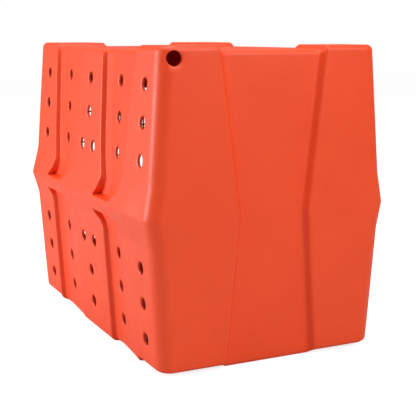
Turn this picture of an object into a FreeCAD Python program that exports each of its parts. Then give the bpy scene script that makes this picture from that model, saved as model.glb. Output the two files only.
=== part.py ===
import FreeCAD, Part
import math
import os
import Sketcher

# A one-piece moulded dog kennel with a wire door.
# Origin: middle of the base. +Z is up, the door is at -Y, the closed rear wall at +Y.

os.makedirs("parts", exist_ok=True)
doc = FreeCAD.newDocument("kennel")

# ---------------------------------------------------------------- driving dimensions, mm and degrees

DIMENSIONS = {
    # shell
    "body_height": 621, "pad_rise": 9.5, "foot_step": 8.5, "wall": 5.5,
    "belt_height": 309, "belt_width": 520.4, "top_width": 472, "base_width": 481,
    "belt_length": 776, "end_length": 762, "corner_radius": 30, "end_draft": 2,
    "belt_flare": 11, "flare_reach": 60, "draft_above": 0.0775, "draft_below": 0.064,
    # roof pads and the raised corners of the base
    "pad_inner": 114, "foot_inner": 99, "pad_rear": 260, "pad_front": 246,
    # side channels, fore and aft: edges along y at the roof, above the belt, on the belt's upper and
    # lower lips, below the belt, and at the base
    "channel_depth": 11, "channel_step": 5, "channel_ramp": 75, "channel_top": 660, "channel_foot": -30,
    "bridge_top": 318, "bridge_bottom": 284, "bridge_slope": 45, "lip_depth": 1, "floor_set_in": 2,
    "bend_set_in": 4,
    "fore_top_front": -247, "fore_top_rear": -50, "fore_mid_front": -220, "fore_mid_rear": -92,
    "fore_lip_front": -247, "fore_lip_rear": -147, "fore_brow_front": -260, "fore_brow_rear": -143,
    "fore_low_front": -236, "fore_low_rear": -88, "fore_base_front": -242, "fore_base_rear": -67,
    "aft_top_front": 72, "aft_top_rear": 272, "aft_mid_front": 126, "aft_mid_rear": 224,
    "aft_lip_front": 86, "aft_lip_rear": 181, "aft_brow_front": 61, "aft_brow_rear": 210,
    "aft_low_front": 117, "aft_low_rear": 240, "aft_base_front": 116, "aft_base_rear": 262,
    # recess in the rear wall, narrow at the belt
    "recess_depth": 14, "recess_step": 12, "recess_top": 116, "recess_belt": 73, "recess_base": 99,
    # vents
    "vent_radius": 12.7, "vent_row_first": 64.6, "vent_row_pitch": 71.9, "vent_belt_gap": 206.8,
    "vent_front": -289, "vent_fore": -148.5, "vent_mid": 11.1, "vent_pair_front": -23.3,
    "vent_pair_rear": 44.6, "vent_aft": 172.2, "vent_rear": 313.5,
    "corner_hole_radius": 14.5, "corner_hole_x": 210, "corner_hole_z": 607.5,
    # door opening and the seat around it
    "opening_width": 280, "opening_low": 120, "opening_high": 512, "opening_corner": 30,
    "seat_y": -373.5, "seat_width": 380, "seat_low": 76, "seat_high": 556, "seat_corner": 46,
    # door
    "frame_rod": 4, "frame_y": -382.5, "frame_half": 146, "frame_low": 114, "frame_high": 518,
    "frame_bend": 22, "wire_radius": 2, "wire_step": 39.2, "wire_low": 140.3, "wire_across": 40,
    "weld_bite": 0.4,
    # hinges
    "knuckle_radius": 8, "bush_radius": 5.5, "rod_clearance": 0.05, "hinge_height": 30,
    "hinge_low": 159.9, "hinge_high": 473.5, "leaf_thick": 3, "leaf_reach": 40, "hinge_bolt_x": -168,
    "hinge_bolt_gap": 16,
    # fasteners
    "bolt_radius": 3, "bolt_hole": 3.2, "head_radius": 5.5, "head_height": 3, "washer_radius": 8,
    "washer_thick": 1.6, "nut_radius": 5.77, "nut_height": 5, "bolt_length": 18,
    # latch: two slide bolts in the middle of the door, stored drawn back
    "latch_y": -394, "latch_rod": 3.5, "latch_offset": 21, "latch_middle": 288, "latch_height": 80,
    "latch_plate_half": 29, "plate_thick": 2, "ear_thick": 3, "ear_reach": 13, "latch_travel": 14,
    "travel_gap": 0.3, "grip_height": 12, "grip_half": 26, "grip_back": -389.5, "grip_front": -404,
    "guide_half": 7, "guide_height": 8, "guide_reach": 14,
    # keepers
    "keeper_gap": 14, "keeper_thick": 3, "keeper_half": 24, "keeper_leaf": 26, "keeper_bolt_gap": 15,
    "keeper_bolt_rise": 14, "keeper_reach": 24, "keeper_hole": 4.2, "bolt_engaged": 8,
    # bumpers
    "bumper_radius": 5, "bumper_x": 60, "bumper_gap": 0.1,
    # cutters reach this far past what they cut
    "margin": 1, "far_out": 500, "cut_depth": 60, "cut_start": 16.5,
}

VENT_ROWS = 6
ROWS_BY_THE_BELT = (2, 3)
VERTICAL_WIRES = 7
HORIZONTAL_WIRES = 10


def make_sheet():
    sheet = doc.addObject("Spreadsheet::Sheet", "sheet")
    for row, (alias, number) in enumerate(DIMENSIONS.items(), start=1):
        sheet.set(f"A{row}", alias)
        sheet.set(f"B{row}", str(number))
        sheet.setAlias(f"B{row}", alias)
    doc.recompute()
    return sheet


def named(text):
    """Turn the dimension names in a formula into references to the sheet."""
    words = sorted(DIMENSIONS, key=len, reverse=True)
    out = ""
    position = 0
    while position < len(text):
        found = next((word for word in words if text.startswith(word, position)), None)
        if found:
            out += "sheet." + found
            position += len(found)
        else:
            out += text[position]
            position += 1
    return out


def bind(thing, prop, formula):
    thing.setExpression(prop, named(str(formula)))


# ---------------------------------------------------------------- building blocks

def new_body(label):
    body = doc.addObject("PartDesign::Body", label)
    body.Label = label
    return body


def new_sketch(body, name, plane="XY_Plane", height=0):
    """A sketch on one of the body's own planes, moved along the plane's normal."""
    sketch = body.newObject("Sketcher::SketchObject", name)
    origin = next(o for o in body.Origin.OriginFeatures if o.Role == plane)
    sketch.AttachmentSupport = [(origin, "")]
    sketch.MapMode = "FlatFace"
    bind(sketch, ".AttachmentOffset.Base.z", height)
    return sketch


def value(sketch, formula):
    """What a formula comes to, so that an outline is drawn in its place before it is constrained."""
    return float(sketch.evalExpression(named(formula)))


def place(sketch, across, along):
    return FreeCAD.Vector(value(sketch, across), value(sketch, along), 0)


def pin_point(sketch, line, point, across, along):
    """Fix a point of the sketch at two formulas."""
    for kind, formula in (("DistanceX", across), ("DistanceY", along)):
        index = sketch.addConstraint(Sketcher.Constraint(kind, -1, 1, line, point, value(sketch, formula)))
        bind(sketch, f"Constraints[{index}]", formula)


def polygon(sketch, corners):
    """A closed outline of straight lines, its corners given as pairs of formulas."""
    points = [place(sketch, across, along) for across, along in corners]
    first = sketch.GeometryCount
    last = first + len(corners) - 1
    for i in range(len(corners)):
        sketch.addGeometry(Part.LineSegment(points[i], points[(i + 1) % len(corners)]), False)
    for line in range(first, last + 1):
        following = line + 1 if line < last else first
        sketch.addConstraint(Sketcher.Constraint("Coincident", line, 2, following, 1))
    for i, (across, along) in enumerate(corners):
        pin_point(sketch, first + i, 1, across, along)


def rectangle(sketch, low_across, high_across, low_along, high_along):
    polygon(sketch, [(low_across, low_along), (high_across, low_along),
                     (high_across, high_along), (low_across, high_along)])


def rounded_rectangle(sketch, low_across, high_across, low_along, high_along, radius):
    """A rectangle whose corners are arcs: both ends of each side are fixed, and the arcs join them."""
    left, right = f"({low_across}) + ({radius})", f"({high_across}) - ({radius})"
    bottom, top = f"({low_along}) + ({radius})", f"({high_along}) - ({radius})"
    sides = [((left, low_along), (right, low_along)), ((high_across, bottom), (high_across, top)),
             ((right, high_along), (left, high_along)), ((low_across, top), (low_across, bottom))]
    centres = [(right, bottom), (right, top), (left, top), (left, bottom)]
    first = sketch.GeometryCount
    for start, finish in sides:
        sketch.addGeometry(Part.LineSegment(place(sketch, *start), place(sketch, *finish)), False)
    for i, (across, along) in enumerate(centres):
        centre = place(sketch, across, along)
        ring = Part.Circle(centre, FreeCAD.Vector(0, 0, 1), value(sketch, radius))
        sketch.addGeometry(Part.ArcOfCircle(ring, (i - 1) * math.pi / 2, i * math.pi / 2), False)
    for i, ends in enumerate(sides):
        arc = first + 4 + i
        following = first + (i + 1) % 4
        for point, (across, along) in enumerate(ends, start=1):
            pin_point(sketch, first + i, point, across, along)
        sketch.addConstraint(Sketcher.Constraint("Coincident", first + i, 2, arc, 1))
        sketch.addConstraint(Sketcher.Constraint("Coincident", arc, 2, following, 1))
        size = sketch.addConstraint(Sketcher.Constraint("Radius", arc, value(sketch, radius)))
        bind(sketch, f"Constraints[{size}]", radius)


def circle(sketch, across, along, radius):
    ring = Part.Circle(place(sketch, across, along), FreeCAD.Vector(0, 0, 1), value(sketch, radius))
    index = sketch.addGeometry(ring, False)
    pin_point(sketch, index, 3, across, along)
    size = sketch.addConstraint(Sketcher.Constraint("Radius", index, value(sketch, radius)))
    bind(sketch, f"Constraints[{size}]", radius)


def pad(body, sketch, length, both_ways=False, backwards=False):
    feature = body.newObject("PartDesign::Pad", sketch.Name + "_pad")
    feature.Profile = sketch
    feature.Midplane = both_ways
    feature.Reversed = backwards
    bind(feature, "Length", length)
    return feature


def pocket(body, sketch, length, both_ways=False, backwards=False):
    feature = body.newObject("PartDesign::Pocket", sketch.Name + "_pocket")
    feature.Profile = sketch
    feature.Midplane = both_ways
    feature.Reversed = backwards
    bind(feature, "Length", length)
    return feature


def loft(body, sketches, cut=False):
    kind = "PartDesign::SubtractiveLoft" if cut else "PartDesign::AdditiveLoft"
    feature = body.newObject(kind, sketches[0].Name + "_loft")
    feature.Profile = sketches[0]
    feature.Sections = sketches[1:]
    feature.Ruled = True
    return feature


# ---------------------------------------------------------------- the shell

def add_block(body, tag, skin):
    """The drafted box with round corners: narrow at both ends, ridged along the sides at the belt."""
    below = "(belt_width / 2 - flare_reach * draft_below)"
    above = "(belt_width / 2 - flare_reach * draft_above)"
    levels = [("base", "base_width / 2", "end_length / 2", f"{skin}"),
              ("under_belt", below, "belt_length / 2 - end_draft", "belt_height - flare_reach"),
              ("belt", "(belt_width / 2 + belt_flare)", "belt_length / 2", "belt_height"),
              ("over_belt", above, "belt_length / 2 - end_draft", "belt_height + flare_reach"),
              ("roof", "top_width / 2", "end_length / 2", f"body_height + pad_rise - {skin}")]
    sketches = []
    for level, half_width, half_length, height in levels:
        sketch = new_sketch(body, f"{tag}_{level}", height=height)
        rounded_rectangle(sketch, f"-({half_width} - {skin})", f"{half_width} - {skin}",
                          f"-({half_length} - {skin})", f"{half_length} - {skin}", f"corner_radius - {skin}")
        sketches.append(sketch)
    return loft(body, sketches)


def cut_roof(body, tag, skin):
    """Lower the roof everywhere but at the four stacking pads."""
    sketch = new_sketch(body, f"{tag}_roof_cross", height="body_height + pad_rise + margin")
    inner = f"pad_inner + {skin}"
    front = f"-(pad_front) - {skin}"
    rear = f"pad_rear + {skin}"
    polygon(sketch, [(f"-({inner})", "-far_out"), (inner, "-far_out"), (inner, front), ("far_out", front),
                     ("far_out", rear), (inner, rear), (inner, "far_out"), (f"-({inner})", "far_out"),
                     (f"-({inner})", rear), ("-far_out", rear), ("-far_out", front), (f"-({inner})", front)])
    pocket(body, sketch, f"pad_rise + {skin} + margin")


def cut_feet(body, tag, skin):
    """Raise the four corners of the base so that they sit on the pads of a kennel below."""
    sketch = new_sketch(body, f"{tag}_feet", height="-margin")
    for low_x, high_x in ((f"foot_inner - {skin}", "far_out"), ("-far_out", f"-(foot_inner - {skin})")):
        for low_y, high_y in ((f"pad_rear - {skin}", "far_out"), ("-far_out", f"-(pad_front - {skin})")):
            rectangle(sketch, low_x, high_x, low_y, high_y)
    pocket(body, sketch, f"foot_step + {skin} + margin", backwards=True)


def channel_section(body, name, height, front, rear, depth, surface, skin, side):
    """One level of a channel cutter: steep front step, flat floor, gentle ramp at the rear."""
    sketch = new_sketch(body, name, height=height)
    floor = f"{side}({surface} - {skin} - {depth})"
    outside = f"{side}({surface} - {skin} + channel_depth + belt_flare)"
    spread = "(channel_depth + belt_flare) / channel_depth"
    polygon(sketch, [(outside, f"{front} - {skin} - channel_step * {spread}"),
                     (floor, f"{front} - {skin} + channel_step * {depth} / channel_depth"),
                     (floor, f"{rear} + {skin} - channel_ramp * {depth} / channel_depth"),
                     (outside, f"{rear} + {skin} + channel_ramp * {spread}")])
    return sketch


def cut_channels(body, tag, skin):
    """Four channels on each side: two above the belt, two below it."""
    for side_name, side in (("right", ""), ("left", "-")):
        for which in ("fore", "aft"):
            upper = [("top", "channel_top", f"{which}_top", "channel_depth", "top_width / 2 - floor_set_in"),
                     ("floor", "bridge_top + bridge_slope", f"{which}_mid", "channel_depth",
                      "belt_width / 2 - bend_set_in"),
                     ("lip", "bridge_top", f"{which}_lip", "lip_depth", "belt_width / 2 + belt_flare")]
            lower = [("foot", "channel_foot", f"{which}_base", "channel_depth",
                      "base_width / 2 - floor_set_in"),
                     ("floor", "bridge_bottom - bridge_slope", f"{which}_low", "channel_depth",
                      "belt_width / 2 - bend_set_in"),
                     ("lip", "bridge_bottom", f"{which}_brow", "lip_depth", "belt_width / 2 + belt_flare")]
            for half, levels in (("upper", upper), ("lower", lower)):
                sketches = []
                for level, height, edges, depth, surface in levels:
                    name = f"{tag}_{side_name}_{which}_{half}_{level}"
                    sketches.append(channel_section(body, name, height, f"{edges}_front", f"{edges}_rear",
                                                    depth, surface, skin, side))
                loft(body, sketches, cut=True)


def cut_rear_recess(body, tag, skin):
    """The hourglass recess in the rear wall."""
    sketches = []
    levels = [("base", "-recess_step", "recess_base", "end_length"),
              ("belt", "belt_height", "recess_belt", "belt_length"),
              ("roof", "body_height + pad_rise * 2", "recess_top", "end_length")]
    for level, height, half, length in levels:
        sketch = new_sketch(body, f"{tag}_recess_{level}", height=height)
        floor = f"{length} / 2 - {skin} - recess_depth"
        inner = f"{half} + {skin} - recess_step"
        outer = f"{half} + {skin} + recess_step"
        polygon(sketch, [(f"-({inner})", floor), (inner, floor), (outer, f"{floor} + recess_depth * 2"),
                         (f"-({outer})", f"{floor} + recess_depth * 2")])
        sketches.append(sketch)
    loft(body, sketches, cut=True)


def cut_seat(body, tag, skin):
    """The flat seat around the door, set back into the front wall."""
    sketch = new_sketch(body, f"{tag}_seat", "XZ_Plane", f"-(seat_y) - {skin}")
    rounded_rectangle(sketch, f"-(seat_width / 2 + {skin})", f"seat_width / 2 + {skin}",
                      f"seat_low - {skin}", f"seat_high + {skin}", f"seat_corner + {skin}")
    pocket(body, sketch, "cut_depth", backwards=True)


def make_volume(tag, skin):
    """The shell's outer volume, or with a skin, the hollow inside it."""
    body = new_body(tag)
    add_block(body, tag, skin)
    cut_roof(body, tag, skin)
    cut_feet(body, tag, skin)
    cut_channels(body, tag, skin)
    cut_rear_recess(body, tag, skin)
    cut_seat(body, tag, skin)
    return body


def cut_vents(body):
    """Round vents through both side walls: six rows, in five or six columns."""
    sketch = new_sketch(body, "vents", "YZ_Plane")
    for row in range(VENT_ROWS):
        above_belt, step = divmod(row, VENT_ROWS // 2)
        pitches = step + 2 * above_belt
        height = f"vent_row_first + vent_row_pitch * {pitches} + vent_belt_gap * {above_belt}"
        middle = ["vent_pair_front", "vent_pair_rear"] if row in ROWS_BY_THE_BELT else ["vent_mid"]
        for station in ["vent_front", "vent_fore"] + middle + ["vent_aft", "vent_rear"]:
            circle(sketch, station, height, "vent_radius")
    pocket(body, sketch, "belt_width + cut_depth * 2", both_ways=True)


def cut_door_opening(body):
    sketch = new_sketch(body, "door_opening", "XZ_Plane", "-(seat_y) - cut_start")
    rounded_rectangle(sketch, "-(opening_width / 2)", "opening_width / 2", "opening_low", "opening_high",
                      "opening_corner")
    pocket(body, sketch, "cut_depth", backwards=True)


def cut_corner_hole(body):
    """The single round hole high in the rear wall's corner."""
    sketch = new_sketch(body, "corner_hole", "XZ_Plane", "-(end_length / 2 - cut_start * 2)")
    circle(sketch, "corner_hole_x", "corner_hole_z", "corner_hole_radius")
    pocket(body, sketch, "cut_depth + cut_start")


def cut_bolt_holes(body):
    """Clearance holes through the seat for the hinge and keeper bolts."""
    sketch = new_sketch(body, "bolt_holes", "XZ_Plane", "-(seat_y) - cut_start")
    for across, along in hinge_bolt_places() + keeper_bolt_places():
        circle(sketch, across, along, "bolt_hole")
    pocket(body, sketch, "cut_depth", backwards=True)


def hinge_bolt_places():
    return [("hinge_bolt_x", f"{height} {sign} hinge_bolt_gap / 2")
            for height in ("hinge_low", "hinge_high") for sign in ("-", "+")]


def keeper_heights():
    """Each keeper's tab edge nearest the door, and which way the keeper reaches from it."""
    return [("upper", "opening_high + keeper_gap", 1), ("lower", "opening_low - keeper_gap", -1)]


def keeper_bolt_places():
    places = []
    for name, edge, way in keeper_heights():
        for sign in ("-", "+"):
            across = f"{way} * latch_offset {sign} keeper_bolt_gap"
            places.append((across, f"{edge} + {way} * keeper_bolt_rise"))
    return places


def make_shell():
    shell = make_volume("kennel_shell", "0")
    hollow = make_volume("shell_hollow", "wall")
    doc.recompute()
    cut = shell.newObject("PartDesign::Boolean", "hollow_cut")
    cut.Type = "Cut"
    cut.setObjects([hollow])
    doc.recompute()
    cut_vents(shell)
    cut_door_opening(shell)
    cut_corner_hole(shell)
    cut_bolt_holes(shell)
    return shell


# ---------------------------------------------------------------- the door

def front_sketch(body, name, depth):
    """A sketch facing the door: across is X, along is Z, and depth is its place on Y."""
    return new_sketch(body, name, "XZ_Plane", f"-({depth})")


def make_door_frame():
    """A loop of round bar. Its left upright is also the hinge shaft."""
    body = new_body("door_frame")
    path = front_sketch(body, "frame_path", "frame_y")
    rounded_rectangle(path, "-(frame_half)", "frame_half", "frame_low", "frame_high", "frame_bend")
    section = new_sketch(body, "frame_section", "YZ_Plane", "frame_half - frame_bend")
    circle(section, "frame_y", "frame_low", "frame_rod")
    pipe = body.newObject("PartDesign::AdditivePipe", "frame_pipe")
    pipe.Profile = section
    pipe.Spine = path
    return body


def make_vertical_wires():
    body = new_body("door_wires_vertical")
    sketch = new_sketch(body, "vertical_wires", height="frame_low + frame_rod - weld_bite")
    for wire in range(VERTICAL_WIRES):
        circle(sketch, f"wire_across * {wire - VERTICAL_WIRES // 2}", "frame_y - wire_radius", "wire_radius")
    pad(body, sketch, "frame_high - frame_low - (frame_rod - weld_bite) * 2")
    return body


def make_horizontal_wires():
    body = new_body("door_wires_horizontal")
    sketch = new_sketch(body, "horizontal_wires", "YZ_Plane")
    for wire in range(HORIZONTAL_WIRES):
        circle(sketch, "frame_y + wire_radius", f"wire_low + wire_step * {wire}", "wire_radius")
    pad(body, sketch, "(frame_half - frame_rod + weld_bite) * 2", both_ways=True)
    return body


# ---------------------------------------------------------------- hinges

def make_hinge_bracket(level):
    """A strap bent round the frame's upright, with a leaf on the seat."""
    body = new_body(f"hinge_bracket_{level}")
    middle = "hinge_low" if level == "lower" else "hinge_high"
    base = f"{middle} - hinge_height / 2"
    knuckle = new_sketch(body, f"knuckle_{level}", height=base)
    circle(knuckle, "-(frame_half)", "frame_y", "knuckle_radius")
    pad(body, knuckle, "hinge_height")
    leaf = new_sketch(body, f"leaf_{level}", height=base)
    rectangle(leaf, "-(frame_half) - leaf_reach", "-(frame_half)", "seat_y - leaf_thick", "seat_y")
    pad(body, leaf, "hinge_height")
    bore = new_sketch(body, f"bore_{level}", height=base)
    circle(bore, "-(frame_half)", "frame_y", "bush_radius")
    pocket(body, bore, "hinge_height", backwards=True)
    holes = front_sketch(body, f"leaf_holes_{level}", "seat_y - leaf_thick - margin")
    for sign in ("-", "+"):
        circle(holes, "hinge_bolt_x", f"{middle} {sign} hinge_bolt_gap / 2", "bolt_hole")
    pocket(body, holes, "leaf_thick + margin * 2")
    return body


def make_hinge_bush(level):
    """A nylon bush pressed into the bracket. The frame's upright turns in it."""
    body = new_body(f"hinge_bush_{level}")
    middle = "hinge_low" if level == "lower" else "hinge_high"
    ring = new_sketch(body, f"bush_ring_{level}", height=f"{middle} - hinge_height / 2")
    circle(ring, "-(frame_half)", "frame_y", "bush_radius")
    circle(ring, "-(frame_half)", "frame_y", "frame_rod + rod_clearance")
    pad(body, ring, "hinge_height")
    return body


# ---------------------------------------------------------------- bolts, washers and nuts

def make_bolts(label, places, under_head):
    """Button-head bolts along Y, each a separate solid."""
    body = new_body(label)
    heads = front_sketch(body, f"{label}_heads", under_head)
    shanks = front_sketch(body, f"{label}_shanks", under_head)
    for across, along in places:
        circle(heads, across, along, "head_radius")
        circle(shanks, across, along, "bolt_radius")
    pad(body, heads, "head_height")
    pad(body, shanks, "bolt_length", backwards=True)
    return body


def make_washers(label, places):
    body = new_body(label)
    rings = front_sketch(body, f"{label}_rings", "seat_y + wall")
    for across, along in places:
        circle(rings, across, along, "washer_radius")
        circle(rings, across, along, "bolt_hole")
    pad(body, rings, "washer_thick", backwards=True)
    return body


def make_nuts(label, places):
    body = new_body(label)
    outlines = front_sketch(body, f"{label}_outlines", "seat_y + wall + washer_thick")
    for across, along in places:
        turns = [math.radians(60 * i) for i in range(6)]
        polygon(outlines, [(f"{across} + nut_radius * {math.cos(turn):.5f}",
                            f"{along} + nut_radius * {math.sin(turn):.5f}") for turn in turns])
        circle(outlines, across, along, "bolt_radius")
    pad(body, outlines, "nut_height", backwards=True)
    return body


# ---------------------------------------------------------------- latch

def make_latch_plate():
    """A pressed plate on the front wires, with an ear turned out at each end."""
    body = new_body("latch_plate")
    plate = front_sketch(body, "latch_back", "frame_y - frame_rod")
    rectangle(plate, "-(latch_plate_half)", "latch_plate_half", "latch_middle - latch_height / 2",
              "latch_middle + latch_height / 2")
    pad(body, plate, "plate_thick")
    for level, way, base in (("upper", 1, "latch_middle + latch_height / 2 - ear_thick"),
                             ("lower", -1, "latch_middle - latch_height / 2")):
        ear = new_sketch(body, f"ear_{level}", height=base)
        rectangle(ear, "-(latch_plate_half)", "latch_plate_half", "frame_y - frame_rod - ear_reach",
                  "frame_y - frame_rod")
        pad(body, ear, "ear_thick")
        hole = new_sketch(body, f"ear_hole_{level}", height=f"{base} - margin")
        circle(hole, f"{way} * latch_offset", "latch_y", "latch_rod + rod_clearance")
        pocket(body, hole, "ear_thick + margin * 2", backwards=True)
    return body


def grip_base(level):
    """The lower face of a grip at rest, one travel short of its ear."""
    if level == "upper":
        return "latch_middle + latch_height / 2 - ear_thick - travel_gap - latch_travel - grip_height"
    return "latch_middle - latch_height / 2 + ear_thick + travel_gap + latch_travel"


def make_latch_grip(level):
    """The finger grip pressed on a slide bolt."""
    body = new_body(f"latch_grip_{level}")
    way = 1 if level == "upper" else -1
    block = new_sketch(body, f"grip_block_{level}", height=grip_base(level))
    rectangle(block, "-(grip_half)", "grip_half", "grip_front", "grip_back")
    pad(body, block, "grip_height")
    bore = new_sketch(body, f"grip_bore_{level}", height=f"{grip_base(level)} - margin")
    circle(bore, f"{way} * latch_offset", "latch_y", "latch_rod")
    pocket(body, bore, "grip_height + margin * 2", backwards=True)
    return body


def make_latch_bolt(level):
    """The slide bolt itself, from its grip to just short of the keeper."""
    body = new_body(f"latch_bolt_{level}")
    if level == "upper":
        base = grip_base(level)
        tip = "opening_high + keeper_gap + keeper_thick + bolt_engaged - latch_travel - travel_gap"
        way = 1
    else:
        base = "opening_low - keeper_gap - keeper_thick - bolt_engaged + latch_travel + travel_gap"
        tip = f"{grip_base(level)} + grip_height"
        way = -1
    rod = new_sketch(body, f"bolt_rod_{level}", height=base)
    circle(rod, f"{way} * latch_offset", "latch_y", "latch_rod")
    pad(body, rod, f"{tip} - ({base})")
    return body


def make_latch_guide(level):
    """An eye on the frame that steadies the end of a slide bolt."""
    body = new_body(f"latch_guide_{level}")
    way, middle = (1, "frame_high") if level == "upper" else (-1, "frame_low")
    block = new_sketch(body, f"guide_block_{level}", height=f"{middle} - guide_height / 2")
    rectangle(block, f"{way} * latch_offset - guide_half", f"{way} * latch_offset + guide_half",
              "frame_y - frame_rod - guide_reach", "frame_y - frame_rod")
    pad(body, block, "guide_height")
    bore = new_sketch(body, f"guide_bore_{level}", height=f"{middle} - guide_height / 2 - margin")
    circle(bore, f"{way} * latch_offset", "latch_y", "latch_rod + rod_clearance")
    pocket(body, bore, "guide_height + margin * 2", backwards=True)
    return body


def make_keeper(level, edge, way):
    """An angle bracket on the seat. The slide bolt enters the hole in its tab."""
    body = new_body(f"keeper_{level}")
    middle = f"{way} * latch_offset"
    leaf = front_sketch(body, f"keeper_leaf_{level}", "seat_y")
    low, high = (edge, f"{edge} + keeper_leaf") if way > 0 else (f"{edge} - keeper_leaf", edge)
    rectangle(leaf, f"{middle} - keeper_half", f"{middle} + keeper_half", low, high)
    pad(body, leaf, "keeper_thick")
    tab_base = edge if way > 0 else f"{edge} - keeper_thick"
    tab = new_sketch(body, f"keeper_tab_{level}", height=tab_base)
    rectangle(tab, f"{middle} - keeper_half / 2", f"{middle} + keeper_half / 2",
              "seat_y - keeper_thick - keeper_reach", "seat_y")
    pad(body, tab, "keeper_thick")
    hole = new_sketch(body, f"keeper_hole_{level}", height=f"{tab_base} - margin")
    circle(hole, middle, "latch_y", "keeper_hole")
    pocket(body, hole, "keeper_thick + margin * 2", backwards=True)
    bolts = front_sketch(body, f"keeper_bolt_holes_{level}", "seat_y - keeper_thick - margin")
    for sign in ("-", "+"):
        circle(bolts, f"{middle} {sign} keeper_bolt_gap", f"{edge} + {way} * keeper_bolt_rise", "bolt_hole")
    pocket(body, bolts, "keeper_thick + margin * 2")
    return body


# ---------------------------------------------------------------- bumpers

def make_bumpers():
    """Rubber buttons on the seat, one under each quarter of the door's top and bottom bars."""
    body = new_body("door_bumpers")
    sketch = front_sketch(body, "bumper_rounds", "seat_y")
    for height in ("frame_low", "frame_high"):
        for sign in (-1, 1):
            circle(sketch, f"{sign} * bumper_x", height, "bumper_radius")
    pad(body, sketch, "seat_y - (frame_y + frame_rod) - bumper_gap")
    return body


# ---------------------------------------------------------------- build, check and export

def make_parts():
    parts = [make_shell(), make_door_frame(), make_vertical_wires(), make_horizontal_wires()]
    for level in ("lower", "upper"):
        parts += [make_hinge_bracket(level), make_hinge_bush(level)]
    parts += [make_bolts("hinge_bolts", hinge_bolt_places(), "seat_y - leaf_thick"),
              make_washers("hinge_washers", hinge_bolt_places()),
              make_nuts("hinge_nuts", hinge_bolt_places()),
              make_bolts("keeper_bolts", keeper_bolt_places(), "seat_y - keeper_thick"),
              make_washers("keeper_washers", keeper_bolt_places()),
              make_nuts("keeper_nuts", keeper_bolt_places()),
              make_latch_plate()]
    for level in ("upper", "lower"):
        parts += [make_latch_grip(level), make_latch_bolt(level), make_latch_guide(level)]
    for level, edge, way in keeper_heights():
        parts.append(make_keeper(level, edge, way))
    parts.append(make_bumpers())
    return parts


def check_and_export(parts):
    doc.recompute()
    for thing in doc.Objects:
        for state in thing.State:
            if state in ("Invalid", "Error"):
                raise RuntimeError(f"{thing.Name} is {state}")
    for part in parts:
        if part.Shape.isNull() or not part.Shape.isValid():
            raise RuntimeError(f"{part.Label} has a bad shape")
    for part in parts:
        part.Shape.exportStep(f"parts/{part.Label}.step")


sheet = make_sheet()
check_and_export(make_parts())
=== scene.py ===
import math

import bmesh
import bpy
import numpy as np
from mathutils import Matrix, Vector


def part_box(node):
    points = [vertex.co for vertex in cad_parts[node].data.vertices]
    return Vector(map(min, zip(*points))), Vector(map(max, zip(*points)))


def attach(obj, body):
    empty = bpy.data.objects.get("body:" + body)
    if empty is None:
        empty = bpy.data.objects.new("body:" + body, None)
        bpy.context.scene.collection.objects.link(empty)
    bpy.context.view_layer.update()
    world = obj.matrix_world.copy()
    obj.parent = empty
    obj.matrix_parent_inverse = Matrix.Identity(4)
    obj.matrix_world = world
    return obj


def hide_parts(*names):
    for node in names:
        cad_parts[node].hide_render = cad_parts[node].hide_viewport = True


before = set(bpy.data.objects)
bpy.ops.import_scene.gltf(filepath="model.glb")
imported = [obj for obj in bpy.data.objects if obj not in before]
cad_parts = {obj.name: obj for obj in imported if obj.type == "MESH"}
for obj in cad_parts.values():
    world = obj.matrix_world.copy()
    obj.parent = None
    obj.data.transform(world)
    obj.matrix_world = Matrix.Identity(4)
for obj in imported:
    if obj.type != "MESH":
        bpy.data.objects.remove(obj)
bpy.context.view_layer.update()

# A moulded dog kennel. It stands on Z = 0 with its door towards -Y. All lengths are metres.

SHELL_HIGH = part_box("kennel_shell")[1]
ROOF = SHELL_HIGH.z
BELT = ROOF * 0.49                # height of the belt, where the shell is widest
SIDE_AT_BELT = 0.2602             # half widths of the drafted side walls, without the belt's ridge
SIDE_AT_ROOF = 0.2360
SIDE_AT_BASE = 0.2405
END_AT_BELT = SHELL_HIGH.y        # half lengths between the end walls
END_AT_EDGE = 0.3810
CORNER_RADIUS = 0.030
EDGE_RADIUS = 0.011
WALL = 0.0055
FLARE = SHELL_HIGH.x - SIDE_AT_BELT
FLARE_ABOVE = 0.062               # how far over and under the belt its ridge reaches
FLARE_BELOW = 0.050
FLARE_CURVE = 1.15
SOFT_BELT = 0.004
REAR_FADE = (0.26, 0.36)          # the ridge sinks between these places along Y, by this share
REAR_FADE_SHARE = 0.4

PAD_RISE = 0.0095
FOOT_STEP = 0.0085
EDGE_BLEND = 0.050                # how far down a wall the steps of the roof and base are taken up
PAD_EDGE = 0.012
CHANNEL_DEPTH = 0.0110
CHANNEL_STEP = 0.006              # width of a channel's steep front step
CHANNEL_STEP_SHARE = 0.85         # how much of the depth is reached by that step
CHANNEL_FLOOR = 0.036             # from its front edge to the crease where it starts to rise
CHANNEL_SWELL = 0.70              # below 1 the rising part swells, and meets the wall at a crease
RECESS_DEPTH = 0.014
RECESS_STEP = 0.012
INWARD_FADE = (0.03, 0.13)        # channels and recess fade out between these distances from a wall

VENT_RADIUS = 0.0127
VENT_ROWS = [0.0646, 0.1365, 0.2084, 0.4152, 0.4871, 0.5590]
VENT_ENDS = [-0.2890, -0.1485, 0.1722, 0.3135]
VENT_MIDDLE = [0.0111]
VENT_PAIR = [-0.0233, 0.0446]     # these replace the middle column in the two rows next to the belt
PAIR_ROWS = (2, 3)
VENT_LIP = 0.0010
CORNER_HOLE = (0.210, 0.6075)     # across and up on the rear wall
CORNER_HOLE_RADIUS = 0.0145
CORNER_HOLE_LIP = 0.0012

WALL_AXES = {"left": [1, 2], "right": [1, 2], "front": [0, 2], "rear": [0, 2]}

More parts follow.
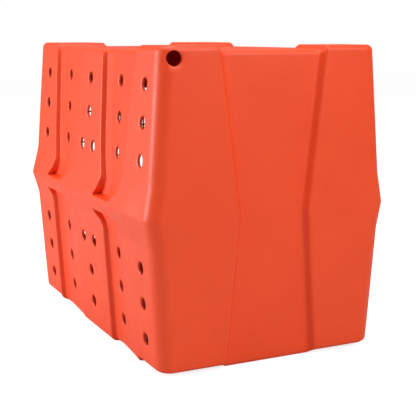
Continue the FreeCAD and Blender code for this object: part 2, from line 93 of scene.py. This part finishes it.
SEAT_Y = -0.3735                  # the door's flat seat in the front wall
SEAT = (0.190, 0.076, 0.556, 0.046)       # half width, bottom, top, corner radius
OPENING = (0.140, 0.120, 0.512, 0.030)
SEAT_MOUTH = 0.004                # how far outside the seat its rounded mouth starts
SEAT_CLEARANCE = 0.002            # width of the strip of faces that is filled in around a hole


def smooth(start, end, value):
    """A soft step from 0 at start to 1 at end."""
    share = np.clip((value - start) / (end - start), 0.0, 1.0)
    return share * share * (3.0 - 2.0 * share)


def path(height, stops):
    """A length that runs straight between (height, length) stops."""
    return np.interp(height, [stop[0] for stop in stops], [stop[1] for stop in stops])


# ---------------------------------------------------------------- the moulded outside

# Edges of the channels in the side walls: (height, place along Y) from the base to the roof.
FORE_FRONT = [(0.0, -0.242), (0.25, -0.238), (0.270, -0.240), (0.285, -0.260), (0.300, -0.252),
              (0.320, -0.240), (0.338, -0.219), (0.357, -0.209), (0.379, -0.214), (0.426, -0.221),
              (0.520, -0.229), (ROOF, -0.241)]
FORE_REAR = [(0.0, -0.067), (0.25, -0.086), (0.264, -0.088), (0.276, -0.105), (0.286, -0.143),
             (0.318, -0.145), (0.334, -0.112), (0.350, -0.092), (0.378, -0.088), (0.506, -0.0665),
             (ROOF, -0.055)]
AFT_FRONT = [(0.0, 0.112), (0.25, 0.112), (0.266, 0.104), (0.286, 0.061), (0.300, 0.070),
             (0.320, 0.082), (0.336, 0.098), (0.358, 0.108), (0.412, 0.095), (0.454, 0.090),
             (0.537, 0.084), (ROOF, 0.076)]
AFT_REAR = [(0.0, 0.262), (0.240, 0.245), (0.260, 0.240), (0.275, 0.221), (0.286, 0.158),
            (0.300, 0.168), (0.318, 0.181), (0.334, 0.204), (0.350, 0.217), (0.377, 0.226),
            (0.401, 0.229), (0.525, 0.246), (ROOF, 0.264)]
RECESS_EDGE = [(0.0, 0.099), (BELT, 0.073), (ROOF, 0.114)]
CHANNEL_LEDGE = (0.3165, 0.3205)   # over the belt the channels end on a steep ledge between these heights
CHANNEL_BROW = (0.2770, 0.2870)    # and under it on a brow between these


def from_belt(height):
    """Distance from the belt, rounded off right at the belt so that the crease is soft."""
    return np.sqrt((height - BELT) ** 2 + SOFT_BELT ** 2) - SOFT_BELT


def belt_ridge(y, height):
    """How far the belt's ridge stands out. It is lower at the rear corners."""
    reach = np.where(height > BELT, FLARE_ABOVE, FLARE_BELOW)
    share = np.clip(1.0 - from_belt(height) / reach, 0.0, 1.0)
    return FLARE * share ** FLARE_CURVE * (1.0 - REAR_FADE_SHARE * smooth(*REAR_FADE, y))


def side_half(height):
    above = (SIDE_AT_BELT - SIDE_AT_ROOF) / (ROOF - BELT)
    below = (SIDE_AT_BELT - SIDE_AT_BASE) / BELT
    return SIDE_AT_BELT - from_belt(height) * np.where(height > BELT, above, below)


def end_half(height):
    return END_AT_BELT - from_belt(height) * (END_AT_BELT - END_AT_EDGE) / BELT


def channel_depth(y, z):
    """0 to 1: how deep the side channels are. Each drops at its front and rises slowly to its rear."""
    depth = np.zeros_like(y)
    for front_stops, rear_stops in ((FORE_FRONT, FORE_REAR), (AFT_FRONT, AFT_REAR)):
        front, rear = path(z, front_stops), path(z, rear_stops)
        into = y - front
        slope = np.clip(into / CHANNEL_FLOOR, 0.0, 1.0)
        drop = CHANNEL_STEP_SHARE * smooth(0.0, CHANNEL_STEP, into) + (1.0 - CHANNEL_STEP_SHARE) * slope
        rise = np.clip((rear - y) / (rear - front - CHANNEL_FLOOR), 0.0, 1.0)
        rise = rise ** CHANNEL_SWELL
        depth = np.maximum(depth, drop * rise)
    reach = np.maximum(smooth(*CHANNEL_LEDGE, z), 1.0 - smooth(*CHANNEL_BROW, z))
    return depth * reach


def pad_height(x, y, z):
    """1 on the four corners that stand proud at the roof and are raised at the base, 0 between them."""
    front, rear = path(z, FORE_FRONT), path(z, AFT_REAR)
    half = PAD_EDGE / 2
    along = 1.0 - smooth(front - half, front + half, y) * (1.0 - smooth(rear - half, rear + half, y))
    edge = path(z, RECESS_EDGE)
    return along * smooth(edge - half, edge + half, np.abs(x))


def recess_depth(x, z):
    edge = path(z, RECESS_EDGE)
    return 1.0 - smooth(edge - RECESS_STEP / 2, edge + RECESS_STEP / 2, np.abs(x))


def mould(x, y, z, skin):
    """Map points on a square-cornered box onto the moulded shape, or onto the hollow a skin inside it.

    The box's walls stand at side_half and end_half, less the skin.
    """
    ridge = belt_ridge(y, z)
    side = side_half(z) + ridge - skin
    end = end_half(z) - skin
    corner = CORNER_RADIUS - skin
    edge = EDGE_RADIUS - skin
    top, bottom = ROOF - skin, skin
    inset_side = side - np.abs(x)
    inset_end = end - np.abs(y)
    # the four upright corners
    core_x = np.clip(x, corner - side, side - corner)
    core_y = np.clip(y, corner - end, end - corner)
    away_x, away_y = x - core_x, y - core_y
    square = np.maximum(np.abs(away_x), np.abs(away_y))
    slant = np.maximum(np.hypot(away_x, away_y), 1e-9)
    new_x = core_x + away_x * square / slant
    new_y = core_y + away_y * square / slant
    # the edges of the roof and the base
    from_wall = np.clip(edge - np.minimum(inset_side, inset_end), 0.0, edge)
    from_face = np.clip(edge - np.minimum(top - z, z - bottom), 0.0, edge)
    tilt = np.maximum(np.hypot(from_wall, from_face), 1e-9)
    pull = np.where((from_wall > 0) & (from_face > 0), 1.0 - np.maximum(from_wall, from_face) / tilt, 0.0)
    new_x = new_x - away_x / slant * from_wall * pull
    new_y = new_y - away_y / slant * from_wall * pull
    new_z = z + np.where(z > BELT, -1.0, 1.0) * from_face * pull
    # the pads on the roof and the raised corners of the base
    pad = pad_height(x, y, z)
    near_roof = np.clip(1.0 - (top - z) / EDGE_BLEND, 0.0, 1.0)
    near_base = np.clip(1.0 - (z - bottom) / EDGE_BLEND, 0.0, 1.0)
    new_z = new_z - PAD_RISE * (1.0 - pad) * near_roof + FOOT_STEP * pad * near_base
    # the side channels and the rear recess, which fade out across the roof and the base
    channel = channel_depth(y, z) * (1.0 - smooth(*INWARD_FADE, inset_side))
    new_x = new_x - np.sign(x) * (CHANNEL_DEPTH + ridge) * channel
    recess = recess_depth(x, z) * (1.0 - smooth(*INWARD_FADE, inset_end))
    new_y = new_y - np.where(y > 0, RECESS_DEPTH * recess, 0.0)
    return np.stack([new_x, new_y, new_z], axis=-1)


# ---------------------------------------------------------------- the grid on the box

def arc_cuts(radius, count):
    """Distances in from an edge that cut its rounding into equal angles, from 0 to the radius."""
    return [radius * (1.0 - math.tan(math.pi / 4 * i / count)) for i in range(count, -1, -1)]


EDGE_CUTS = sorted(arc_cuts(CORNER_RADIUS, 8) + arc_cuts(EDGE_RADIUS, 4)[1:-1])


def runs(stops):
    """Places between the stops, each stop a (place, how many steps lead to it)."""
    places = [stops[0][0]]
    for (begin, _), (end, count) in zip(stops, stops[1:]):
        places += [begin + (end - begin) * i / count for i in range(1, count + 1)]
    return places


def inside_skin(cut, skin):
    """A distance in from the outer wall, moved in for the inner skin."""
    return skin + cut * (CORNER_RADIUS - skin) / CORNER_RADIUS


def lines_along(z, skin):
    """Grid lines along Y at a height. They follow the edges of the channels."""
    end = end_half(z)
    cuts = [inside_skin(cut, skin) for cut in EDGE_CUTS]
    fore = (path(z, FORE_FRONT), path(z, FORE_REAR))
    aft = (path(z, AFT_FRONT), path(z, AFT_REAR))
    middle = runs([(-end + CORNER_RADIUS, 0), (fore[0] - PAD_EDGE / 2, 17), (fore[0], 3),
                   (fore[0] + CHANNEL_STEP, 8), (fore[0] + CHANNEL_FLOOR, 6), (fore[1], 17), (aft[0], 27),
                   (aft[0] + CHANNEL_STEP, 8), (aft[0] + CHANNEL_FLOOR, 6), (aft[1] - PAD_EDGE / 2, 16),
                   (aft[1] + PAD_EDGE / 2, 4), (end - CORNER_RADIUS, 19)])
    return [-end + cut for cut in cuts[:-1]] + middle + [end - cut for cut in cuts[-2::-1]]


def lines_across(z, skin):
    """Grid lines along X at a height. They follow the edges of the rear recess."""
    side = side_half(z) + belt_ridge(np.array(0.0), z)
    edge = path(z, RECESS_EDGE)
    cuts = [inside_skin(cut, skin) for cut in EDGE_CUTS]
    half = runs([(side - CORNER_RADIUS, 0), (edge + RECESS_STEP / 2, 14),
                 (edge - RECESS_STEP / 2, 6), (0, 11)])
    half = [side - cut for cut in cuts[:-1]] + half
    return [-x for x in half] + half[-2::-1]


def lines_up(skin):
    """Grid lines up the walls, close together at the edges and about the belt."""
    cuts = [skin + cut * (EDGE_RADIUS - skin) / EDGE_RADIUS for cut in arc_cuts(EDGE_RADIUS, 5)]
    middle = runs([(EDGE_RADIUS, 0), (0.240, 33), (CHANNEL_BROW[0], 11), (CHANNEL_BROW[1], 7),
                   (CHANNEL_LEDGE[0], 11), (CHANNEL_LEDGE[1], 7), (0.380, 16), (ROOF - EDGE_RADIUS, 34)])
    return cuts[:-1] + middle + [ROOF - cut for cut in cuts[-2::-1]]


class Skin:
    """One closed skin of the shell. Its grid faces are kept by wall, so that holes can be cut in them."""

    def __init__(self, skin):
        self.skin = skin
        up = np.array(lines_up(skin))
        along = np.array([lines_along(z, skin) for z in up])
        across = np.array([lines_across(z, skin) for z in up])
        counts = (across.shape[1], along.shape[1], len(up))
        surface = np.zeros(counts, bool)
        surface[[0, -1], :, :] = surface[:, [0, -1], :] = surface[:, :, [0, -1]] = True
        number = np.full(counts, -1)
        number[surface] = np.arange(surface.sum())
        x = np.broadcast_to(across.T[:, None, :], counts)[surface]
        y = np.broadcast_to(along.T[None, :, :], counts)[surface]
        z = np.broadcast_to(up[None, None, :], counts)[surface]
        # the side walls stand where the belt's ridge puts them at each place along Y
        drawn_side = side_half(z) + belt_ridge(np.zeros_like(y), z) - skin
        x = x * (side_half(z) + belt_ridge(y, z) - skin) / drawn_side
        self.points = mould(x, y, z, skin).tolist()
        self.faces = []
        self.walls = {}
        for name, axis, place in (("left", 0, 0), ("right", 0, -1), ("front", 1, 0), ("rear", 1, -1),
                                  ("base", 2, 0), ("roof", 2, -1)):
            grid = number.take(place, axis=axis)
            quads = np.stack([grid[:-1, :-1], grid[1:, :-1], grid[1:, 1:], grid[:-1, 1:]], axis=-1)
            self.walls[name] = quads.reshape(-1, 4)

    def add(self, points):
        """Add points and return their numbers."""
        first = len(self.points)
        self.points += [list(point) for point in points]
        return list(range(first, len(self.points)))

    def wall_point(self, wall, across, up):
        """The moulded points that lie, seen square on, at these places on a wall."""
        target = np.stack([across, up], axis=-1)
        guess = target.copy()
        for _ in range(12):
            place, z = guess.T
            if wall in ("left", "right"):
                sign = 1.0 if wall == "right" else -1.0
                x = sign * (side_half(z) + belt_ridge(place, z) - self.skin)
                found = mould(x, place, z, self.skin)
            else:
                sign = 1.0 if wall == "rear" else -1.0
                found = mould(place, sign * (end_half(z) - self.skin), z, self.skin)
            guess += target - found[:, WALL_AXES[wall]]
        return found

    def open_wall(self, wall, outline, clearance):
        """Take out the faces that an outline covers, and return the loop of points left around it."""
        centre = outline.mean(axis=0)
        quads = self.walls[wall]
        away = np.array(self.points)[quads][:, :, WALL_AXES[wall]] - centre
        limit = outline_reach(outline, centre)(np.arctan2(away[..., 1], away[..., 0])) + clearance
        covered = (np.hypot(away[..., 0], away[..., 1]) < limit).any(axis=1)
        self.walls[wall] = quads[~covered]
        edges = {(a, b) for quad in quads[covered].tolist() for a, b in zip(quad, quad[1:] + quad[:1])}
        rim = {a: b for a, b in edges if (b, a) not in edges}
        loop = [min(rim)]
        while rim[loop[-1]] != loop[0]:
            loop.append(rim[loop[-1]])
        turns = np.unwrap(self.turns(loop, centre, WALL_AXES[wall]))
        return loop if turns[-1] > turns[0] else loop[::-1]

    def turns(self, numbers, centre, axes):
        away = np.array([self.points[n] for n in numbers])[:, axes] - centre
        return np.arctan2(away[:, 1], away[:, 0])

    def stitch(self, loop, ring, centre, axes):
        """Fill between a loop of points and a ring inside it, both counter-clockwise."""
        full = 2 * math.pi
        loop_turns = np.unwrap(self.turns(loop, centre, axes))
        away = (self.turns(ring, centre, axes) - loop_turns[0] + math.pi) % full - math.pi
        start = int(np.argmin(np.abs(away)))
        ring = ring[start:] + ring[:start]
        ring_turns = np.unwrap(np.roll(away, -start)) + loop_turns[0]
        loop_turns = list(loop_turns) + [loop_turns[0] + full]
        ring_turns = list(ring_turns) + [ring_turns[0] + full]
        i = j = 0
        while i < len(loop) or j < len(ring):
            a, b = loop[i % len(loop)], ring[j % len(ring)]
            if j == len(ring) or (i < len(loop) and loop_turns[i + 1] <= ring_turns[j + 1]):
                i += 1
                self.faces.append([a, loop[i % len(loop)], b])
            else:
                j += 1
                self.faces.append([a, ring[j % len(ring)], b])


def outline_reach(outline, centre):
    """Distance from the centre to the outline, by direction."""
    away = outline - centre
    turns = np.arctan2(away[:, 1], away[:, 0])
    order = np.argsort(turns)
    turns, lengths = turns[order], np.hypot(away[:, 0], away[:, 1])[order]
    return lambda turn: np.interp(turn, turns, lengths, period=2 * math.pi)


def rounded_outline(half, low, high, radius, grow=0.0, per_corner=10, per_side=14):
    """Points round a rectangle with arcs at its corners, grown outward by a distance."""
    half, low, high, radius = half + grow, low - grow, high + grow, radius + grow
    points = []
    for turn, (x, z) in enumerate(((half - radius, high - radius), (radius - half, high - radius),
                                   (radius - half, low + radius), (half - radius, low + radius))):
        for i in range(per_corner + 1):
            angle = math.pi / 2 * (turn + i / per_corner)
            points.append((x + radius * math.cos(angle), z + radius * math.sin(angle)))
        here = np.array(points[-1])
        following = [(radius - half, high), (-half, low + radius),
                     (half - radius, low), (half, high - radius)]
        there = np.array(following[turn])
        points += [tuple(here + (there - here) * i / per_side) for i in range(1, per_side)]
    return np.array(points)


def round_outline(centre, radius, count):
    turns = np.arange(count) * 2 * math.pi / count
    return np.stack([centre[0] + radius * np.cos(turns), centre[1] + radius * np.sin(turns)], axis=-1)


# ---------------------------------------------------------------- holes through both skins

def band(faces, first, second):
    """Quads between two rings with the same number of points."""
    for i in range(len(first)):
        j = (i + 1) % len(first)
        faces.append([first[i], first[j], second[j], second[i]])


def drill(outer, inner, wall, centre, radius, lip, count=40, clearance=0.003):
    """A round hole through both skins, square to the wall, with a small rounding at the outside."""
    axes = WALL_AXES[wall]
    depth_axis = 1 - axes[0]
    inward = -1.0 if wall in ("right", "rear") else 1.0
    middle = np.array(centre)
    rings = []
    for share in (1.0, 0.3, 0.0):
        ring = round_outline(middle, radius + lip * share, count)
        points = outer.wall_point(wall, ring[:, 0], ring[:, 1])
        points[:, depth_axis] += inward * lip * (1.0 - share) ** 1.6
        rings.append(outer.add(points))
    mouth = round_outline(middle, radius + lip, count)
    outer_loop = outer.open_wall(wall, mouth, clearance)
    outer.stitch(outer_loop, rings[0], middle, axes)
    throat = round_outline(middle, radius, count)
    inner_points = inner.wall_point(wall, throat[:, 0], throat[:, 1])
    inner_loop = inner.open_wall(wall, throat, clearance)
    inner_ring = inner.add(inner_points)
    inner.stitch(inner_loop, inner_ring, middle, axes)
    rings.append(inner_ring)
    return rings


def open_doorway(outer, inner):
    """The flat seat set back into the front wall, and the opening through it."""
    middle = np.array([0.0, (OPENING[1] + OPENING[2]) / 2])
    rings = []
    for grow, sink in ((SEAT_MOUTH, 0.0), (0.0012, 0.0010), (0.0, 0.0035)):
        ring = rounded_outline(*SEAT, grow=grow)
        points = outer.wall_point("front", ring[:, 0], ring[:, 1])
        points[:, 1] += sink
        rings.append(outer.add(points))
    outer_loop = outer.open_wall("front", rounded_outline(*SEAT, grow=SEAT_MOUTH), SEAT_CLEARANCE)
    outer.stitch(outer_loop, rings[0], middle, [0, 2])
    for outline, grow, y in ((SEAT, -0.0005, SEAT_Y - 0.0015), (SEAT, -0.002, SEAT_Y), (SEAT, -0.012, SEAT_Y),
                             (OPENING, 0.012, SEAT_Y), (OPENING, 0.0015, SEAT_Y),
                             (OPENING, 0.0004, SEAT_Y + 0.0004), (OPENING, 0.0, SEAT_Y + 0.0015)):
        ring = rounded_outline(*outline, grow=grow)
        rings.append(outer.add([(x, y, z) for x, z in ring]))
    inner_rings = []
    around = rounded_outline(*SEAT, grow=WALL)
    points = inner.wall_point("front", around[:, 0], around[:, 1])
    inner_rings.append(inner.add(points))
    inner_loop = inner.open_wall("front", around, SEAT_CLEARANCE)
    inner.stitch(inner_loop, inner_rings[0], middle, [0, 2])
    for outline, grow in ((SEAT, WALL), (OPENING, 0.012), (OPENING, 0.0)):
        ring = rounded_outline(*outline, grow=grow)
        inner_rings.append(inner.add([(x, SEAT_Y + WALL, z) for x, z in ring]))
    for first, second in zip(inner_rings, inner_rings[1:]):
        band(inner.faces, first, second)
    rings.append(inner_rings[-1])
    return rings


def vent_places():
    for row, height in enumerate(VENT_ROWS):
        for place in VENT_ENDS + (VENT_PAIR if row in PAIR_ROWS else VENT_MIDDLE):
            yield place, height


def make_shell():
    outer, inner = Skin(0.0), Skin(WALL)
    holes = []
    for wall in ("left", "right"):
        for centre in vent_places():
            holes.append(drill(outer, inner, wall, centre, VENT_RADIUS, VENT_LIP))
    holes.append(drill(outer, inner, "rear", CORNER_HOLE, CORNER_HOLE_RADIUS, CORNER_HOLE_LIP, count=56))
    holes.append(open_doorway(outer, inner))
    offset = len(outer.points)
    faces = []
    for quads in outer.walls.values():
        faces += quads.tolist()
    faces += outer.faces
    for quads in [quads.tolist() for quads in inner.walls.values()] + [inner.faces]:
        faces += [[number + offset for number in reversed(face)] for face in quads]
    for rings in holes:
        # the last ring is in the inner skin, whose points are numbered after the outer skin's
        linked = rings[:-1] + [[number + offset for number in rings[-1]]]
        for first, second in zip(linked, linked[1:]):
            band(faces, first, second)
    mesh = bpy.data.meshes.new("kennel_body")
    mesh.from_pydata(outer.points + inner.points, [], faces)
    shell = bpy.data.objects.new("kennel_body", mesh)
    bpy.context.scene.collection.objects.link(shell)
    clean_mesh(mesh)
    return shell


def clean_mesh(mesh):
    """Merge doubles, drop loose points, point the faces outward and mark the sharp edges."""
    work = bmesh.new()
    work.from_mesh(mesh)
    bmesh.ops.remove_doubles(work, verts=work.verts, dist=1e-6)
    loose = [vert for vert in work.verts if not vert.link_faces]
    bmesh.ops.delete(work, geom=loose, context="VERTS")
    bmesh.ops.recalc_face_normals(work, faces=work.faces)
    open_edges = sum(1 for edge in work.edges if len(edge.link_faces) != 2)
    print("open or shared edges:", open_edges, "faces:", len(work.faces))
    work.to_mesh(mesh)
    work.free()
    mesh.shade_smooth()
    mesh.set_sharp_from_angle(angle=math.radians(42))


shell = make_shell()
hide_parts("kennel_shell")
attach(shell, "shell")


# ---------------------------------------------------------------- materials

def new_material(name):
    material = bpy.data.materials.new(name)
    material.use_nodes = True
    nodes, links = material.node_tree.nodes, material.node_tree.links
    shader = nodes["Principled BSDF"]
    return material, nodes, links, shader


def noise(nodes, links, scale, detail=4.0, roughness=0.5):
    place = nodes.new("ShaderNodeTexCoord")
    texture = nodes.new("ShaderNodeTexNoise")
    texture.inputs["Scale"].default_value = scale
    texture.inputs["Detail"].default_value = detail
    texture.inputs["Roughness"].default_value = roughness
    links.new(place.outputs["Object"], texture.inputs["Vector"])
    return texture


def ramp(nodes, links, source, stops):
    colours = nodes.new("ShaderNodeValToRGB")
    while len(colours.color_ramp.elements) < len(stops):
        colours.color_ramp.elements.new(0.5)
    for element, (place, colour) in zip(colours.color_ramp.elements, stops):
        element.position = place
        element.color = (*colour, 1.0)
    links.new(source, colours.inputs["Fac"])
    return colours


def grey(value):
    return (value, value, value)


def bump(nodes, links, source, distance, strength, below=None):
    node = nodes.new("ShaderNodeBump")
    node.inputs["Distance"].default_value = distance
    node.inputs["Strength"].default_value = strength
    links.new(source, node.inputs["Height"])
    if below:
        links.new(below.outputs["Normal"], node.inputs["Normal"])
    return node


def moulded_plastic():
    """Rotomoulded polyethylene: satin, with a faint mottle and a very fine orange-peel texture."""
    material, nodes, links, shader = new_material("moulded_orange")
    mottle = noise(nodes, links, 9.0, 5.0, 0.55)
    colour = ramp(nodes, links, mottle.outputs["Fac"],
                  [(0.30, (0.84, 0.060, 0.006)), (0.70, (0.88, 0.068, 0.008))])
    links.new(colour.outputs["Color"], shader.inputs["Base Color"])
    patches = noise(nodes, links, 60.0, 3.0)
    gloss = ramp(nodes, links, patches.outputs["Fac"], [(0.3, grey(0.40)), (0.7, grey(0.50))])
    links.new(gloss.outputs["Color"], shader.inputs["Roughness"])
    peel = bump(nodes, links, noise(nodes, links, 420.0, 3.0).outputs["Fac"], 0.0004, 0.10)
    wave = bump(nodes, links, noise(nodes, links, 22.0, 2.0).outputs["Fac"], 0.003, 0.05, below=peel)
    links.new(wave.outputs["Normal"], shader.inputs["Normal"])
    shader.inputs["Specular IOR Level"].default_value = 0.45
    return material


def surface(name, dark, light, rough, metallic, grain, relief):
    """A material with a mottled colour, uneven gloss and a fine relief.

    grain is the mottle's scale, relief the height of the bumps, rough the range of the roughness.
    """
    material, nodes, links, shader = new_material(name)
    mottle = noise(nodes, links, grain, 5.0, 0.6)
    colour = ramp(nodes, links, mottle.outputs["Fac"], [(0.3, dark), (0.7, light)])
    links.new(colour.outputs["Color"], shader.inputs["Base Color"])
    scuffs = noise(nodes, links, grain * 4.0, 4.0)
    gloss = ramp(nodes, links, scuffs.outputs["Fac"], [(0.3, grey(rough[0])), (0.7, grey(rough[1]))])
    links.new(gloss.outputs["Color"], shader.inputs["Roughness"])
    height = noise(nodes, links, grain * 12.0, 3.0)
    relief_node = bump(nodes, links, height.outputs["Fac"], relief, 0.25)
    links.new(relief_node.outputs["Normal"], shader.inputs["Normal"])
    shader.inputs["Metallic"].default_value = metallic
    return material


def powder_coat():
    """Black powder coat on the door's frame and wires: semi-gloss with a fine pebble."""
    return surface("black_powder_coat", dark=grey(0.012), light=grey(0.020),
                   rough=(0.32, 0.46), metallic=0.0, grain=60.0, relief=0.0004)


def zinc_plate():
    """Bright zinc on fasteners and slide bolts, faintly blue, with dull patches."""
    return surface("zinc_plate", dark=(0.48, 0.50, 0.53), light=(0.66, 0.67, 0.68),
                   rough=(0.24, 0.42), metallic=1.0, grain=80.0, relief=0.0001)


def bracket_metal():
    """Pressed galvanised steel of the brackets, keepers, guides and plate: greyer and duller."""
    return surface("galvanised_steel", dark=(0.36, 0.37, 0.39), light=(0.52, 0.53, 0.54),
                   rough=(0.36, 0.56), metallic=1.0, grain=45.0, relief=0.0002)


def bush_plastic():
    return surface("natural_nylon", dark=(0.68, 0.66, 0.60), light=(0.76, 0.74, 0.68),
                   rough=(0.38, 0.50), metallic=0.0, grain=50.0, relief=0.0002)


def grip_plastic():
    return surface("black_grip_plastic", dark=grey(0.018), light=grey(0.030),
                   rough=(0.45, 0.60), metallic=0.0, grain=70.0, relief=0.0005)


def soft_rubber():
    return surface("black_rubber", dark=grey(0.022), light=grey(0.034),
                   rough=(0.70, 0.85), metallic=0.0, grain=90.0, relief=0.0006)


def put(material, *node_names):
    """Give carried-over CAD nodes one finished material."""
    for node_name in node_names:
        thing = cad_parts[node_name]
        for slot in thing.material_slots:
            slot.material = material
        if not thing.material_slots:
            thing.data.materials.append(material)


shell.data.materials.append(moulded_plastic())
put(powder_coat(), "door_frame", "door_wires_vertical", "door_wires_horizontal")
put(zinc_plate(), "hinge_bolts", "hinge_washers", "hinge_nuts", "keeper_bolts", "keeper_washers",
    "keeper_nuts", "latch_bolt_upper", "latch_bolt_lower")
put(bracket_metal(), "hinge_bracket_upper", "hinge_bracket_lower", "keeper_upper", "keeper_lower",
    "latch_guide_upper", "latch_guide_lower", "latch_plate")
put(bush_plastic(), "hinge_bush_upper", "hinge_bush_lower")
put(grip_plastic(), "latch_grip_upper", "latch_grip_lower")
put(soft_rubber(), "door_bumpers")


# ---------------------------------------------------------------- floor, light and camera

FLOOR_HALF = 12.0
FLOOR_GLOW = 0.80                 # seen by the camera only, so that the floor meets the background
WORLD_FILL = 0.30


def make_floor():
    """A pale floor. Its glow is for the camera and doesn't light the kennel."""
    mesh = bpy.data.meshes.new("floor")
    work = bmesh.new()
    bmesh.ops.create_grid(work, x_segments=1, y_segments=1, size=FLOOR_HALF)
    work.to_mesh(mesh)
    work.free()
    floor = bpy.data.objects.new("floor", mesh)
    bpy.context.scene.collection.objects.link(floor)
    material, nodes, links, shader = new_material("floor_white")
    shader.inputs["Base Color"].default_value = (0.6, 0.6, 0.6, 1.0)
    shader.inputs["Roughness"].default_value = 0.9
    shader.inputs["Specular IOR Level"].default_value = 0.0
    shader.inputs["Emission Color"].default_value = (1.0, 1.0, 1.0, 1.0)
    seen = nodes.new("ShaderNodeLightPath")
    glow = nodes.new("ShaderNodeMath")
    glow.operation = "MULTIPLY"
    glow.inputs[1].default_value = FLOOR_GLOW
    links.new(seen.outputs["Is Camera Ray"], glow.inputs[0])
    links.new(glow.outputs["Value"], shader.inputs["Emission Strength"])
    floor.data.materials.append(material)
    return floor


def add_area_light(name, place, target, size, power):
    data = bpy.data.lights.new(name, "AREA")
    data.shape = "SQUARE"
    data.size = size
    data.energy = power
    lamp = bpy.data.objects.new(name, data)
    lamp.location = place
    lamp.rotation_euler = (Vector(target) - Vector(place)).to_track_quat("-Z", "Y").to_euler()
    bpy.context.scene.collection.objects.link(lamp)
    return lamp


def make_studio_world(fill):
    """White to the camera, and a weaker even fill as light."""
    world = bpy.data.worlds.new("studio")
    world.use_nodes = True
    nodes, links = world.node_tree.nodes, world.node_tree.links
    seen = nodes.new("ShaderNodeLightPath")
    strength = nodes.new("ShaderNodeMapRange")
    strength.inputs["To Min"].default_value = fill
    strength.inputs["To Max"].default_value = 1.0
    links.new(seen.outputs["Is Camera Ray"], strength.inputs["Value"])
    nodes["Background"].inputs["Color"].default_value = (1.0, 1.0, 1.0, 1.0)
    links.new(strength.outputs["Result"], nodes["Background"].inputs["Strength"])
    bpy.context.scene.world = world


make_floor()
scene = bpy.context.scene
scene.view_settings.view_transform = "Standard"
make_studio_world(WORLD_FILL)
add_area_light("top_softbox", (0.3, 0.2, 2.6), (0.0, 0.1, 0.2), 2.2, 46.0)
add_area_light("side_softbox", (2.6, -1.2, 0.8), (0.0, 0.0, 0.3), 1.4, 58.0)
add_area_light("rear_softbox", (-1.0, 2.7, 2.1), (0.0, 0.3, 0.4), 1.8, 54.0)

camera_data = bpy.data.cameras.new("camera")
camera_data.lens = 81.32
camera_data.sensor_width = 36.0
camera = bpy.data.objects.new("camera", camera_data)
CAMERA_PLACE = (0.9099, 1.9462, 0.6487)
TOWARDS_CAMERA = Vector((0.4329, 0.8831, 0.1809))
CAMERA_ROLL = math.radians(0.053)
look = (-TOWARDS_CAMERA).to_track_quat("-Z", "Y").to_matrix().to_4x4()
camera.matrix_world = Matrix.Translation(CAMERA_PLACE) @ look @ Matrix.Rotation(CAMERA_ROLL, 4, "Z")
scene.collection.objects.link(camera)
scene.camera = camera
